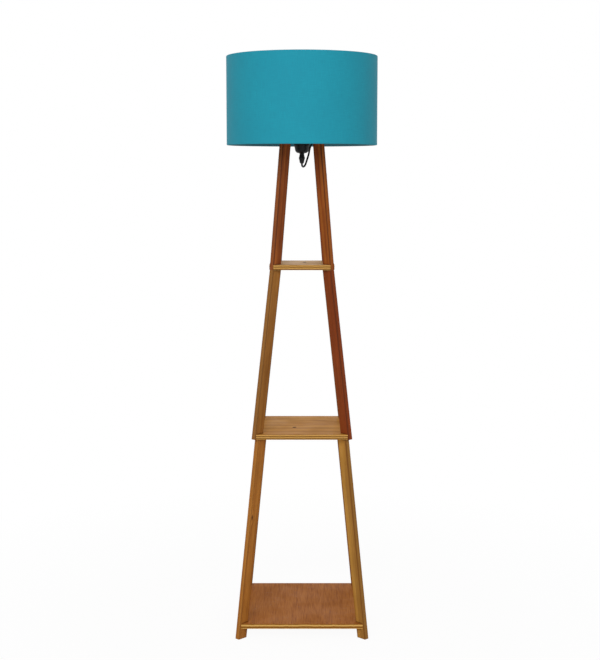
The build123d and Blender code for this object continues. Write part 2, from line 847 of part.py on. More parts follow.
with BuildPart() as switch_cover:
    extrude(switch_outline(switch_split_height), amount=switch_height - switch_split_height)
    chamfer(switch_cover.faces().sort_by(Axis.Z)[-1].edges(), switch_wall / 2)
    extrude(switch_outline(switch_split_height, switch_wall),
            amount=switch_height - switch_split_height - switch_wall, mode=Mode.SUBTRACT)
    add(posts(switch_post_radius, switch_split_height, switch_height - switch_wall / 2))
    # ribs beside the window carry the rocker's stubs
    with Locations((switch_x, switch_y, switch_height)):
        with GridLocations(0, 2 * (post_inner + switch_wall / 2), 1, 2):
            Box(3 * rocker_stub_radius + switch_wall, switch_wall, switch_height - switch_split_height,
                align=(Align.CENTER, Align.CENTER, Align.MAX))
        Box(switch_window_length, switch_window_width, 2 * switch_wall, mode=Mode.SUBTRACT)
    with Locations(Location((switch_x, switch_y, rocker_pivot_height), (90, 0, 0))):
        Cylinder(rocker_stub_radius + rocker_clearance / 4, 2 * (post_inner + switch_wall), mode=Mode.SUBTRACT)
    add(switch_screws.part, mode=Mode.SUBTRACT)
    add(switch_bushings.part, mode=Mode.SUBTRACT)
finish(switch_cover.part, "switch_cover")

rocker_length = switch_window_length - 2 * rocker_clearance - 2 * rocker_crown * sin(radians(rocker_tilt))
rocker_width = switch_window_width - 2 * rocker_clearance
rocker_plane = Plane(
    (switch_x, switch_y, rocker_pivot_height),
    x_dir=(cos(radians(rocker_tilt)), 0, -sin(radians(rocker_tilt))),
    z_dir=(0, -1, 0),
)
with BuildPart() as switch_rocker:
    with BuildSketch(rocker_plane):
        with BuildLine():
            top_hollow = ThreePointArc(
                (-rocker_length / 2, rocker_crown),
                (0, rocker_crown - rocker_hollow),
                (rocker_length / 2, rocker_crown),
            )
            Polyline(
                top_hollow @ 1,
                (rocker_length / 2, rocker_crown - rocker_side_height),
                (rocker_stub_radius, -rocker_keel),
                (-rocker_stub_radius, -rocker_keel),
                (-rocker_length / 2, rocker_crown - rocker_side_height),
                top_hollow @ 0,
            )
        make_face()
    extrude(amount=rocker_width / 2, both=True)
    with BuildSketch(rocker_plane):
        Circle(rocker_stub_radius)
    extrude(amount=post_inner + switch_wall - rocker_clearance, both=True)
finish(switch_rocker.part, "switch_rocker")

contact_spacing = 3 * switch_wall + switch_window_length / 2
with BuildPart() as switch_contacts:
    with Locations((switch_x, switch_y, switch_wall)):
        with GridLocations(contact_spacing, 0, 2, 1):
            Box(switch_wall * 4, switch_wall * 2, switch_wall / 2, align=(Align.CENTER, Align.CENTER, Align.MIN))
    add(posts(switch_wall / 2, switch_wall, 2 * switch_wall, contact_spacing))
finish(switch_contacts.part, "switch_contacts")

spring_level = switch_wall + contact_thickness / 2
spring_crown = rocker_pivot_height - rocker_keel - spring_clearance
crown_reach, foot_reach, end_reach = spring_reach
with BuildPart() as switch_spring:
    with BuildSketch(Plane.XZ.offset(-switch_y)):
        with BuildLine():
            leaf = Polyline(
                (switch_x - end_reach, spring_level),
                (switch_x - foot_reach, spring_level),
                (switch_x - crown_reach, spring_crown),
                (switch_x + crown_reach, spring_crown),
                (switch_x + foot_reach, spring_level),
                (switch_x + end_reach, spring_level),
            )
            offset(leaf, contact_thickness / 2, side=Side.BOTH, kind=Kind.INTERSECTION)
        make_face()
    extrude(amount=contact_width / 2, both=True)
finish(switch_spring.part, "switch_spring")

# ---------------------------------------------------------------- plug
plug_across = Plane(plug_entry, x_dir=(0, 1, 0), z_dir=(-1, 0, 0))
plug_end_face = plug_relief_length + plug_body_length
with BuildPart() as plug_body:
    add(spindle(plug_across, [(0, plug_relief_tip_radius), (plug_relief_length, plug_relief_root_radius)],
                bushing_sides))
    with BuildSketch(plug_across.offset(plug_end_face)) as plug_outline:
        Rectangle(plug_body_width, plug_body_height)
        chamfer(plug_outline.vertices(), plug_corner)
    extrude(amount=-plug_body_length, taper=plug_taper)
finish(plug_body.part, "plug_body")

with BuildPart() as plug_blades:
    with BuildSketch(plug_across.offset(plug_relief_length + plug_body_length)):
        with GridLocations(blade_spacing, 0, 2, 1):
            Rectangle(blade_thickness, blade_width)
    extrude(amount=blade_length)
    chamfer(plug_blades.faces().sort_by(Axis.X)[:2].edges().filter_by(Axis.Z), blade_thickness / 3)
finish(plug_blades.part, "plug_blades")
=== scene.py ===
from math import cos, pi, sin

import bmesh
import bpy
from mathutils import Matrix, Vector


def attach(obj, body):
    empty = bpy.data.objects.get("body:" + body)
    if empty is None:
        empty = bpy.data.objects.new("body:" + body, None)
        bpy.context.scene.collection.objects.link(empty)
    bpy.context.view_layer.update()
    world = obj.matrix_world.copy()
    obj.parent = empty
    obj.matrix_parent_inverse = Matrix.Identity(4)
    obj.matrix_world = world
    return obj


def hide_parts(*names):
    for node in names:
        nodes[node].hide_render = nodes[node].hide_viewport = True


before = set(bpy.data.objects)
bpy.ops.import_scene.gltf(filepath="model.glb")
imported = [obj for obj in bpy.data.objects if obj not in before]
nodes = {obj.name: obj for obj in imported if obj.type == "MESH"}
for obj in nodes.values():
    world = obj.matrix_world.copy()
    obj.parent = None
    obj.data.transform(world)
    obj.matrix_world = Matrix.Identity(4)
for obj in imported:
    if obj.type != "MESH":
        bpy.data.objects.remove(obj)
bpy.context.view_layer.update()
print("frame loaded")

# camera: a little above the middle of the lamp, looking slightly down
view = {"place": (-0.0061, -3.293, 1.1723), "down": 0.1232, "turn": 0.0004, "lens": 70.336, "sensor": 36}
cameraData = bpy.data.cameras.new("camera")
cameraData.lens = view["lens"]
cameraData.sensor_width = view["sensor"]
camera = bpy.data.objects.new("camera", cameraData)
camera.location = view["place"]
camera.rotation_euler = (pi / 2 - view["down"], 0, -view["turn"])
bpy.context.collection.objects.link(camera)
bpy.context.scene.camera = camera

# the lead, in two lengths with the switch between them
lead = {
    "diameter": 0.0048,
    "upperLength": 1.430,
    "lowerLength": 1.134,
    # from the cord grip over to the rear right leg, down it and across the floor to the switch
    "upperRoute": [
        (0, 0, 1.1894), (0, 0, 1.1832), (0.0044, 0.0050, 1.1806), (0.0090, 0.0102, 1.1862),
        (0.0126, 0.0152, 1.1976), (0.0176, 0.0218, 1.2132), (0.0204, 0.0336, 1.2302),
        (0.0271, 0.0450, 1.2428), (0.0386, 0.0590, 1.2438), (0.0486, 0.0681, 1.2356),
        (0.0565, 0.0708, 1.2206), (0.0587, 0.0674, 1.2024), (0.0580, 0.0580, 1.1820),
        (0.0594, 0.0594, 1.1640), (0.0786, 0.0786, 0.9250), (0.0852, 0.0852, 0.8600),
        (0.1219, 0.1219, 0.5230), (0.1250, 0.1250, 0.4940), (0.1245, 0.1245, 0.4650),
        (0.1243, 0.1243, 0.4490), (0.1238, 0.1238, 0.4200), (0.1267, 0.1267, 0.3910),
        (0.1591, 0.1591, 0.0640), (0.1603, 0.1603, 0.0520), (0.1606, 0.1685, 0.0360),
        (0.1534, 0.1816, 0.0184), (0.1410, 0.1945, 0.0034), (0.1260, 0.2020, 0.0028),
        (0.1130, 0.2050, 0.0080), (0.1010, 0.2050, 0.0080),
    ],
    "fromSwitch": [
        (0.0090, 0.2050, 0.0080), (-0.0030, 0.2050, 0.0080), (-0.0170, 0.2104, 0.0034),
        (-0.0280, 0.2192, 0.0024), (-0.0412, 0.2265, 0.0024), (-0.0532, 0.2265, 0.0024),
    ],
    "toPlug": [
        (-0.0628, 0.2265, 0.0078), (-0.0748, 0.2265, 0.0078), (-0.0860, 0.2225, 0.0065),
        (-0.0980, 0.2225, 0.0065),
    ],
}
coil = {"centre": (-0.058, 0.190), "radius": 0.0365, "pitch": 0.0054, "level": 0.0024,
        "turnsIn": 6, "turnsOut": 5, "steps": 8}


def coilTurns():
    # half turns that spiral in on the floor, climb once and spiral out on top
    x, y = coil["centre"]
    northSouth = y + coil["radius"]
    radius = coil["radius"] - coil["pitch"] / 4
    height = coil["level"]
    side = -1
    points = []
    for half in range(coil["turnsIn"] + 1 + coil["turnsOut"]):
        climbing = half == coil["turnsIn"]
        middle = northSouth + side * radius
        outside = radius / cos(pi / 2 / coil["steps"])  # the spline runs inside its points
        for step in range(coil["steps"]):
            share = (step + 0.5) / coil["steps"]
            rise = coil["pitch"] * share if climbing else 0
            points.append((x + side * outside * sin(pi * share),
                           middle - side * outside * cos(pi * share), height + rise))
        if climbing:
            height += coil["pitch"]
        northSouth += 2 * side * radius
        side = -side
        radius += coil["pitch"] / 2 if half >= coil["turnsIn"] else -coil["pitch"] / 2
    return points


def makeLead(name, points):
    line = bpy.data.curves.new(name, "CURVE")
    line.dimensions = "3D"
    line.bevel_depth = 1.0  # each point's radius brings it down to the cord's, and its box with it
    line.bevel_resolution = 4
    line.resolution_u = 6
    line.use_fill_caps = True
    spline = line.splines.new("NURBS")
    spline.points.add(len(points) - 1)
    for point, place in zip(spline.points, points):
        point.co = (*place, 1)
        point.radius = lead["diameter"] / 2
    spline.order_u = 3
    spline.use_endpoint_u = True
    made = bpy.data.objects.new(name, line)
    bpy.context.collection.objects.link(made)
    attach(made, "lamp")
    return made


upperLead = makeLead("upperLead", lead["upperRoute"])
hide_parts("cord_loop", "cord_leg_run", "cord_floor_run")

lowerLead = makeLead("lowerLead", lead["fromSwitch"] + coilTurns() + lead["toPlug"])
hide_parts("cord_to_coil", "cord_coil", "cord_to_plug")
print("camera and lead made")


# materials
def linear(code):
    # an sRGB hex colour as the linear values the shaders work in
    parts = [int(code[place:place + 2], 16) / 255 for place in (1, 3, 5)]
    light = [part / 12.92 if part <= 0.04045 else ((part + 0.055) / 1.055) ** 2.4 for part in parts]
    return (*light, 1)


def put(tree, kind, inputs=None, **settings):
    # adds a node, sets what it has and links or fills its sockets, hex colours as linear values
    made = tree.nodes.new(kind)
    for name, value in settings.items():
        setattr(made, name, value)
    for key, value in (inputs or {}).items():
        if isinstance(value, bpy.types.NodeSocket):
            tree.links.new(value, made.inputs[key])
        else:
            hexColour = isinstance(value, str) and value.startswith("#")
            made.inputs[key].default_value = linear(value) if hexColour else value
    return made


# steps of a pattern that aren't sums, with their node, its settings, its sockets in order and its output
# fade: a smooth change, from value, low and high and what it starts and ends at, 0 and 1 if not said
# tint: one colour laid over another, from share, under and over
patternSteps = {
    "fade": ("ShaderNodeMapRange", {"interpolation_type": "SMOOTHSTEP"},
             ("Value", "From Min", "From Max", "To Min", "To Max"), 0),
    "tint": ("ShaderNodeMix", {"data_type": "RGBA"}, (0, 6, 7), 2),
}


def work(tree, does, *terms):
    # works out one step of a pattern, or a sum by its operation, from numbers, colours and sockets
    sumStep = ("ShaderNodeMath", {"operation": does}, (0, 1, 2), 0)
    kind, settings, sockets, output = patternSteps.get(does, sumStep)
    return put(tree, kind, dict(zip(sockets, terms)), **settings).outputs[output]


def apart(tree, one, other):
    # how far two values are from each other
    return work(tree, "ABSOLUTE", work(tree, "SUBTRACT", one, other))


def spread(ramp, stops):
    # sets (place, hex colour) pairs out along a ramp and gives its colour
    band = ramp.color_ramp.elements
    while len(band) < len(stops):
        band.new(0.5)
    for element, (place, code) in zip(band, stops):
        element.position = place
        element.color = linear(code)
    return ramp.outputs["Color"]


def seenRays(tree):
    # 1 for rays from the camera, from gloss and through glass, which see the surroundings pure white
    rays = put(tree, "ShaderNodeLightPath").outputs
    straight = work(tree, "MAXIMUM", rays["Is Camera Ray"], rays["Is Glossy Ray"])
    return work(tree, "MAXIMUM", straight, rays["Is Transmission Ray"])


def newFinish(name):
    finish = bpy.data.materials.new(name)
    finish.use_nodes = True
    tree = finish.node_tree
    shader = tree.nodes["Principled BSDF"]
    place = put(tree, "ShaderNodeTexCoord").outputs["Object"]
    return finish, tree, shader, place


def speckle(tree, place, scale, detail=3.0, stretch=(1, 1, 1), shift=(0, 0, 0), rough=0.5, bend=0.0):
    # noise, its scale in spots per metre
    there = put(tree, "ShaderNodeMapping", {"Vector": place, "Location": shift, "Scale": stretch}).outputs[0]
    return put(tree, "ShaderNodeTexNoise", {
        "Vector": there, "Scale": scale, "Detail": detail, "Roughness": rough,
        "Distortion": bend}).outputs["Fac"]


def wear(tree, shader, colour, gloss, height, depth):
    # joins colour, roughness and relief to the shader; depth is the relief's size in metres
    tree.links.new(colour, shader.inputs["Base Color"])
    tree.links.new(gloss, shader.inputs["Roughness"])
    relief = put(tree, "ShaderNodeBump", {"Height": height, "Distance": depth, "Strength": 1.0}).outputs[0]
    tree.links.new(relief, shader.inputs["Normal"])


def dress(names, finish):
    for name in names:
        made = nodes[name]
        if not made.data.materials:
            made.data.materials.append(finish)
        for slot in made.material_slots:
            slot.material = finish


# oil that has soaked in leaves little gloss; knots are dark, and painted shade darkens the corners by the
# shelves and round the drilled holes
wood = {"battenShine": 0.14, "plywoodShine": 0.06, "knot": "#3A1F12", "shelfShade": "#2A180B",
        "holeShade": "#33200F"}

# oiled hardwood batten: long brown and golden streaks and dark pores, with painted shade along its edges
batten = {"width": 0.014, "depth": 0.027, "streakWidth": 0.0035, "streakStretch": 0.03,
          "poreWidth": 0.0006, "poreLength": 0.012, "fibreStretch": 0.02, "tonesPerMetre": 9,
          "edge": 0.0023, "ragged": 0.0016, "shelfShade": 0.005, "outerClear": 0.002, "knotRadius": 0.0026,
          "knotStretch": 0.42, "pushReach": 0.011, "push": 0.004, "bandWander": 0.02,
          "skin": 0.0024, "skinFull": 0.0010, "relief": 0.00012, "gloss": (0.52, 0.66),
          "fibreShare": 0.20, "slowShare": 0.22, "poreShare": 0.55, "knotShare": 0.85,
          "shadeAtShelf": 0.6, "shadeUnderShelf": 0.75}
# a streak of sapwood or heartwood, kept to one side of the batten
stripes = {"turn": (1.0, 0.25), "core": 0.0008, "width": 0.004, "share": 0.55}


def battenFinish(name, look, place, turn):
    finish, tree, shader, where = newFinish(name)
    # local place on the batten: X across, Y off its outer face, Z along it
    onBatten = put(tree, "ShaderNodeMapping", {"Vector": where, "Location": place, "Rotation": turn},
                   vector_type="TEXTURE").outputs[0]
    across, off, along = put(tree, "ShaderNodeSeparateXYZ", {0: onBatten}).outputs
    # a knot pushes the grain aside
    knotX, knotY, knotZ = look["knot"]
    away = put(tree, "ShaderNodeCombineXYZ", {
        0: work(tree, "SUBTRACT", across, knotX), 1: work(tree, "SUBTRACT", off, knotY),
        2: work(tree, "MULTIPLY", work(tree, "SUBTRACT", along, knotZ), batten["knotStretch"])}).outputs[0]
    far = put(tree, "ShaderNodeVectorMath", {0: away}, operation="LENGTH").outputs["Value"]
    knot = work(tree, "fade", far, batten["knotRadius"] * 0.3, batten["knotRadius"] * 1.5, 1, 0)
    pushed = work(tree, "fade", far, 0.0, batten["pushReach"], batten["push"], 0)
    aside = put(tree, "ShaderNodeCombineXYZ", {0: pushed, 1: pushed}).outputs[0]
    grainPlace = put(tree, "ShaderNodeVectorMath", {0: onBatten, 1: aside}, operation="ADD").outputs[0]
    straight = (1, 1, batten["streakStretch"])
    wander = speckle(tree, grainPlace, 0.3 / batten["streakWidth"], 2, straight, look["piece"])
    streaks = speckle(tree, grainPlace, 1 / batten["streakWidth"], 5, straight, look["piece"], 0.6, 0.5)
    finePlace = (1, 1, batten["fibreStretch"])
    fibre = speckle(tree, grainPlace, 1 / batten["poreWidth"], 2, finePlace, look["piece"])
    figure = work(tree, "MULTIPLY_ADD", streaks, 0.5, work(tree, "MULTIPLY", wander, 0.5))
    colour = spread(put(tree, "ShaderNodeValToRGB", {0: figure}), look["grain"])
    acrossShare, offShare = stripes["turn"]
    band = work(tree, "MULTIPLY_ADD", across, acrossShare, work(tree, "MULTIPLY", off, offShare))
    band = work(tree, "MULTIPLY_ADD", work(tree, "SUBTRACT", wander, 0.5), batten["bandWander"], band)
    fromStripe = apart(tree, band, look["stripePlace"])
    stripe = work(tree, "fade", fromStripe, stripes["core"], stripes["width"], stripes["share"], 0)
    colour = work(tree, "tint", stripe, colour, look["stripe"])
    outerFace = work(tree, "fade", off, -batten["skin"], -batten["skinFull"], 0, look["outerShare"])
    colour = work(tree, "tint", outerFace, colour, look["outer"])
    darkFibre = work(tree, "fade", fibre, 0.35, 0.62, batten["fibreShare"], 0)
    colour = work(tree, "tint", darkFibre, colour, look["pore"])
    # slow change of tone along the batten, then its pores as short dark dashes
    slow = speckle(tree, onBatten, batten["tonesPerMetre"], 1, (0.6, 0.6, 1), look["piece"])
    slowTone = work(tree, "fade", slow, 0.35, 0.7, 0, batten["slowShare"])
    colour = work(tree, "tint", slowTone, colour, look["pore"])
    long = (1, 1, batten["poreWidth"] / batten["poreLength"])
    pore = speckle(tree, grainPlace, 1 / batten["poreWidth"], 1, long, look["piece"])
    pores = work(tree, "fade", pore, 0.66, 0.74)
    colour = work(tree, "tint", work(tree, "MULTIPLY", pores, batten["poreShare"]), colour, look["pore"])
    colour = work(tree, "tint", work(tree, "MULTIPLY", knot, batten["knotShare"]), colour, wood["knot"])
    # how near a point is to a long edge: off one face and near the next; painted shade there stands in for
    # the shade on the rounded edges
    toSide = work(tree, "SUBTRACT", batten["width"] / 2, work(tree, "ABSOLUTE", across))
    toFace = work(tree, "SUBTRACT", batten["depth"] / 2, apart(tree, off, -batten["depth"] / 2))
    ragged = work(tree, "MULTIPLY_ADD", work(tree, "SUBTRACT", slow, 0.5), batten["ragged"],
                  work(tree, "ADD", toSide, toFace))
    edge = work(tree, "fade", ragged, batten["edge"] * 0.5, batten["edge"] * 1.25, look["edge"], 0)
    colour = work(tree, "tint", edge, colour, look["pore"])
    # painted shade in the corners where the batten meets the shelf it stands in, and under the shelf above
    level = put(tree, "ShaderNodeSeparateXYZ", {0: where}).outputs[2]
    offShelf = apart(tree, level, look["shelf"])
    low = work(tree, "fade", offShelf, 0, batten["shelfShade"] * 0.7, batten["shadeAtShelf"], 0)
    high = work(tree, "fade", level, look["above"] - batten["shelfShade"], look["above"], 0, batten["shadeUnderShelf"])
    # the painted shade fades out towards the outer face
    within = work(tree, "fade", off, -3 * batten["outerClear"], -batten["outerClear"], 1, 0)
    shelfShade = work(tree, "MULTIPLY", work(tree, "MAXIMUM", low, high), within)
    colour = work(tree, "tint", shelfShade, colour, wood["shelfShade"])
    gloss = work(tree, "fade", streaks, 0.3, 0.7, *batten["gloss"])
    height = work(tree, "SUBTRACT", work(tree, "MULTIPLY", fibre, 0.6), pores)
    wear(tree, shader, colour, gloss, height, batten["relief"])
    shader.inputs["Specular IOR Level"].default_value = wood["battenShine"]
    return finish


legTiers = {
    "lower": {"level": 0.0325, "reach": 0.22681, "lean": 0.1404, "shelf": 0.039, "above": 0.503},
    "middle": {"level": 0.5095, "reach": 0.17177, "lean": 0.1538, "shelf": 0.516, "above": 0.925},
    "upper": {"level": 0.9315, "reach": 0.10786, "lean": 0.1139, "shelf": 0.938, "above": 1.250},
}
legCorners = {"front_left": (-1, -1), "front_right": (1, -1), "rear_left": (-1, 1), "rear_right": (1, 1)}
# each batten is its own cut of timber: dark, middle and light of its grain, its pores, and a streak
legLooks = {
    "lower_front_left": {"tones": ("#91551D", "#B3712B", "#C58238"), "pore": "#673B13",
                         "stripe": "#CF8C3E", "stripePlace": -0.0045, "edge": 0.45,
                         "knot": (-0.007, -0.0045, 0.277)},
    "lower_front_right": {"tones": ("#A56E26", "#BE883A", "#CC984A"), "pore": "#784913",
                          "stripe": "#875621", "stripePlace": 0.0076, "outer": "#80552A", "outerShare": 0.55},
    "lower_rear_left": {"tones": ("#945B27", "#B27630", "#C4873D"), "pore": "#693F15",
                        "stripe": "#D39948", "stripePlace": 0.002},
    "lower_rear_right": {"tones": ("#864C1E", "#A56A2C", "#B97B38"), "pore": "#5C350F",
                         "stripe": "#CC8F43", "stripePlace": -0.003},
    "middle_front_left": {"tones": ("#86521C", "#9F682C", "#B0793A"), "pore": "#5E3911",
                          "stripe": "#B78142", "stripePlace": -0.004, "edge": 0.6,
                          "outer": "#8C5F2E", "outerShare": 0.4},
    "middle_front_right": {"tones": ("#79310E", "#904016", "#A14C1C"), "pore": "#532109",
                           "stripe": "#7C3A11", "stripePlace": 0.003},
    "middle_rear_left": {"tones": ("#794117", "#925422", "#A56630"), "pore": "#512A0D",
                         "stripe": "#B67535", "stripePlace": 0.002},
    "middle_rear_right": {"tones": ("#7D4A1A", "#975E27", "#AA7035"), "pore": "#55310F",
                          "stripe": "#723F17", "stripePlace": -0.002},
    "upper_front_left": {"tones": ("#733615", "#914B1F", "#A85B28"), "pore": "#52240D",
                         "stripe": "#BC6B2E", "stripePlace": -0.005, "outer": "#96552A", "outerShare": 0.6},
    "upper_front_right": {"tones": ("#76310D", "#914618", "#A05520"), "pore": "#4D2009",
                          "stripe": "#B56A24", "stripePlace": 0.0045},
    "upper_rear_left": {"tones": ("#723918", "#8E4E22", "#A15C2A"), "pore": "#4E260E",
                        "stripe": "#693113", "stripePlace": 0.002},
    "upper_rear_right": {"tones": ("#763F19", "#925628", "#A66633"), "pore": "#502A0F",
                         "stripe": "#B97A3D", "stripePlace": -0.002},
}
noKnot = (0.02, 0.02, -1.0)  # well outside the batten
for order, (tierName, tier) in enumerate(legTiers.items()):
    for index, (cornerName, corner) in enumerate(legCorners.items()):
        outward = Vector((*corner, 0)).normalized()
        upwards = (Vector((0, 0, 1)) - outward * tier["lean"]).normalized()
        acrossLeg = outward.cross(Vector((0, 0, 1))).normalized()
        offFace = upwards.cross(acrossLeg)
        turn = Matrix((acrossLeg, offFace, upwards)).transposed().to_euler()
        place = outward * tier["reach"] + Vector((0, 0, tier["level"]))
        # its own place in the grain, so that no two battens are alike
        piece = (0.31 * index + order, 0.17 * index, 0.53 * index + 0.7 * order)
        # edge: how much painted shade the long edges get; shelf and above: the levels of the painted shade by
        # the shelves
        look = {"piece": piece, "edge": 0.8, "shelf": tier["shelf"], "above": tier["above"], "knot": noKnot,
                "outer": "#000000", "outerShare": 0.0}
        look |= legLooks[f"{tierName}_{cornerName}"]
        dark, middle, light = look["tones"]
        look["grain"] = [(0.34, dark), (0.48, middle), (0.62, light)]
        finish = battenFinish(f"oiledBatten_{tierName}_{cornerName}", look, place, turn)
        dress([f"{tierName}_leg_{cornerName}"], finish)


# plywood: oiled veneer on its faces, the plies' stripes on its edges
def plywoodFinish(name, look):
    finish, tree, shader, where = newFinish(name)
    normal = put(tree, "ShaderNodeNewGeometry").outputs["Normal"]
    facing = put(tree, "ShaderNodeSeparateXYZ", {0: normal}).outputs[2]
    flat = work(tree, "fade", work(tree, "ABSOLUTE", facing), 0.5, 0.9)
    level = put(tree, "ShaderNodeSeparateXYZ", {0: where}).outputs[2]

    def drawnOut(share):
        # noise stretched along the veneer's grain
        return (share, 1, 1) if look["grainAlong"] == "X" else (1, share, 1)

    # veneer: the log's rings peeled into long wandering figure
    rings = speckle(tree, where, 1 / look["figureWidth"], 3, drawnOut(look["figureStretch"]), look["piece"],
                    0.5, 0.8)
    rings = work(tree, "PINGPONG", work(tree, "MULTIPLY", rings, look["ringCount"]), 1.0)
    fibre = speckle(tree, where, look["fibresPerMetre"], 4, drawnOut(look["fibreStretch"]), look["piece"])
    blotch = speckle(tree, where, look["blotchesPerMetre"], 2, (1, 1, 1), look["piece"])
    figure = work(tree, "MULTIPLY_ADD", rings, look["ringShare"],
                  work(tree, "MULTIPLY", fibre, 1 - look["ringShare"]))
    face = spread(put(tree, "ShaderNodeValToRGB", {0: figure}), look["grain"])
    blotched = work(tree, "fade", blotch, 0.4, 0.7, 0, look["blotchShare"])
    face = work(tree, "tint", blotched, face, look["blotch"])
    scuffs = speckle(tree, where, look["scuffsPerMetre"], 4, (1, 1.6, 1), look["scuffPlace"], 0.7, 1.5)
    face = work(tree, "tint", work(tree, "fade", scuffs, 0.62, 0.72, 0, look["scuffs"]), face, look["scuff"])
    # plies, lightest where their grain runs along the edge and darkest where it ends there
    above = work(tree, "SUBTRACT", level, look["underside"])
    ply = work(tree, "DIVIDE", above, look["thickness"] / look["plies"])
    uneven = speckle(tree, where, look["unevenPerMetre"], 2, (1, 1, 0.2), look["piece"])
    ply = work(tree, "MULTIPLY_ADD", work(tree, "SUBTRACT", uneven, 0.5), look["unevenShare"], ply)
    ended = work(tree, "fade", work(tree, "PINGPONG", ply, 1.0), 0.3, 0.7)
    endGrain = speckle(tree, where, look["endGrainPerMetre"], 2, (1, 1, 0.4), look["piece"])
    edgeMix = work(tree, "MULTIPLY_ADD", endGrain, look["endGrainShare"],
                   work(tree, "MULTIPLY", ended, 1 - look["endGrainShare"]))
    edge = spread(put(tree, "ShaderNodeValToRGB", {0: edgeMix}), look["edge"])
    colour = work(tree, "tint", flat, edge, face)
    # painted shade round the drilled hole's rim, standing in for the shade down in the hole
    fromHole = put(tree, "ShaderNodeMapping", {
        "Vector": where, "Location": (*look["hole"], look["underside"] + look["thickness"]),
        "Scale": (1, look["holeShadeStretch"], 1)}, vector_type="TEXTURE").outputs[0]
    fromHole = put(tree, "ShaderNodeVectorMath", {0: fromHole}, operation="LENGTH").outputs["Value"]
    rim = work(tree, "fade", fromHole, look["holeShadeFull"], look["holeShadeEnd"], look["holeShadeShare"], 0)
    colour = work(tree, "tint", rim, colour, wood["holeShade"])
    gloss = work(tree, "fade", blotch, 0.3, 0.7, *look["gloss"])
    height = work(tree, "MULTIPLY_ADD", ended, 0.6, fibre)
    wear(tree, shader, colour, gloss, height, look["relief"])
    shader.inputs["Specular IOR Level"].default_value = wood["plywoodShine"]
    return finish


noHole = (1, 1)  # well outside the board
plywood = {"thickness": 0.013, "plies": 5, "figureWidth": 0.030, "figureStretch": 0.06, "ringCount": 9.0,
           "ringShare": 0.45, "fibresPerMetre": 700, "fibreStretch": 0.03, "blotchesPerMetre": 14,
           "scuffsPerMetre": 45, "unevenPerMetre": 60, "unevenShare": 0.5, "endGrainPerMetre": 900,
           "endGrainShare": 0.35, "scuff": "#8E8272", "scuffs": 0.0, "scuffPlace": (3.1, 0.4, 0),
           "blotch": "#8A5A2E", "blotchShare": 0.3, "gloss": (0.55, 0.68), "relief": 0.0001,
           "hole": noHole, "holeShadeStretch": 1.0, "holeShadeFull": 0.0047, "holeShadeEnd": 0.0062, "holeShadeShare": 0.85,
           "edge": [(0.22, "#DBA95E"), (0.42, "#B98334"), (0.72, "#6A4014")]}
# the top shelf's painted shade round its hole is drawn longer from front to back, so that its dark spot shows
# at a flat angle
plywoodLooks = {
    "base_shelf": {"underside": 0.026, "grainAlong": "Y", "piece": (0.2, 0.7, 0), "blotch": "#8C5224",
                   "grain": [(0.30, "#884B18"), (0.50, "#A86526"), (0.70, "#B4712F")],
                   "scuffs": 0.4, "ringShare": 0.12, "plies": 3,
                   "edge": [(0.22, "#E0B064"), (0.42, "#BD8638"), (0.72, "#8A581C")]},
    "middle_shelf": {"underside": 0.503, "grainAlong": "X", "hole": (-0.019, -0.030), "piece": (1.3, 0.1, 0),
                     "blotch": "#9A6C3A", "grain": [(0.28, "#A0681E"), (0.5, "#BB7F33"), (0.72, "#CB9241")]},
    "top_shelf": {"underside": 0.925, "grainAlong": "X", "hole": (0.007, 0.013), "holeShadeStretch": 2.2,
                  "piece": (2.4, 0.9, 0), "blotch": "#9C7C55",
                  "grain": [(0.25, "#AD8049"), (0.5, "#C4975E"), (0.75, "#D3A56A")]},
    "top_plate": {"underside": 1.250, "grainAlong": "X", "piece": (3.7, 0.3, 0),
                  "grain": [(0.25, "#9A6E3A"), (0.5, "#AC8049"), (0.75, "#BB9058")]},
}
for name, look in plywoodLooks.items():
    dress([name], plywoodFinish(f"oiledPlywood_{name}", plywood | look))
print("woods made")


# phenolic, PVC and ABS: near black, with a soft gloss, a faint mottle and a little dust
plastic = {"mottlesPerMetre": 260, "grainsPerMetre": 2600, "dustPerMetre": 60, "dust": "#6A6862"}


def mouldedFinish(name, look):
    finish, tree, shader, where = newFinish(name)
    mottle = speckle(tree, where, plastic["mottlesPerMetre"], 3)
    grain = speckle(tree, where, plastic["grainsPerMetre"], 2)
    dust = speckle(tree, where, plastic["dustPerMetre"], 4, rough=0.7)
    colour = spread(put(tree, "ShaderNodeValToRGB", {0: mottle}), look["tones"])
    dusty = work(tree, "fade", dust, 0.55, 0.75, 0, look["dust"])
    colour = work(tree, "tint", dusty, colour, plastic["dust"])
    gloss = work(tree, "fade", dust, 0.35, 0.7, *look["gloss"])
    wear(tree, shader, colour, gloss, grain, look["relief"])
    shader.inputs["IOR"].default_value = look["ior"]
    shader.inputs["Specular IOR Level"].default_value = look["shine"]
    return finish


# pressed phenolic: black and the smoothest of these, with a tight highlight on the dome
phenolic = mouldedFinish("mouldedPhenolic", {
    "tones": [(0.3, "#101113"), (0.7, "#1B1C1F")], "dust": 0.10, "gloss": (0.28, 0.40),
    "relief": 0.00002, "ior": 1.6, "shine": 0.12})
# extruded PVC: the blackest, a waxy skin along the lead
pvc = mouldedFinish("extrudedPvc", {
    "tones": [(0.3, "#0E0F10"), (0.7, "#17181A")], "dust": 0.08, "gloss": (0.40, 0.52),
    "relief": 0.00003, "ior": 1.53, "shine": 0.25})
# moulded PVC: a duller black on the cord grip, clips, bushings and plug
mouldedPvc = mouldedFinish("mouldedPvc", {
    "tones": [(0.3, "#131416"), (0.7, "#1D1E21")], "dust": 0.12, "gloss": (0.46, 0.60),
    "relief": 0.00006, "ior": 1.53, "shine": 0.25})
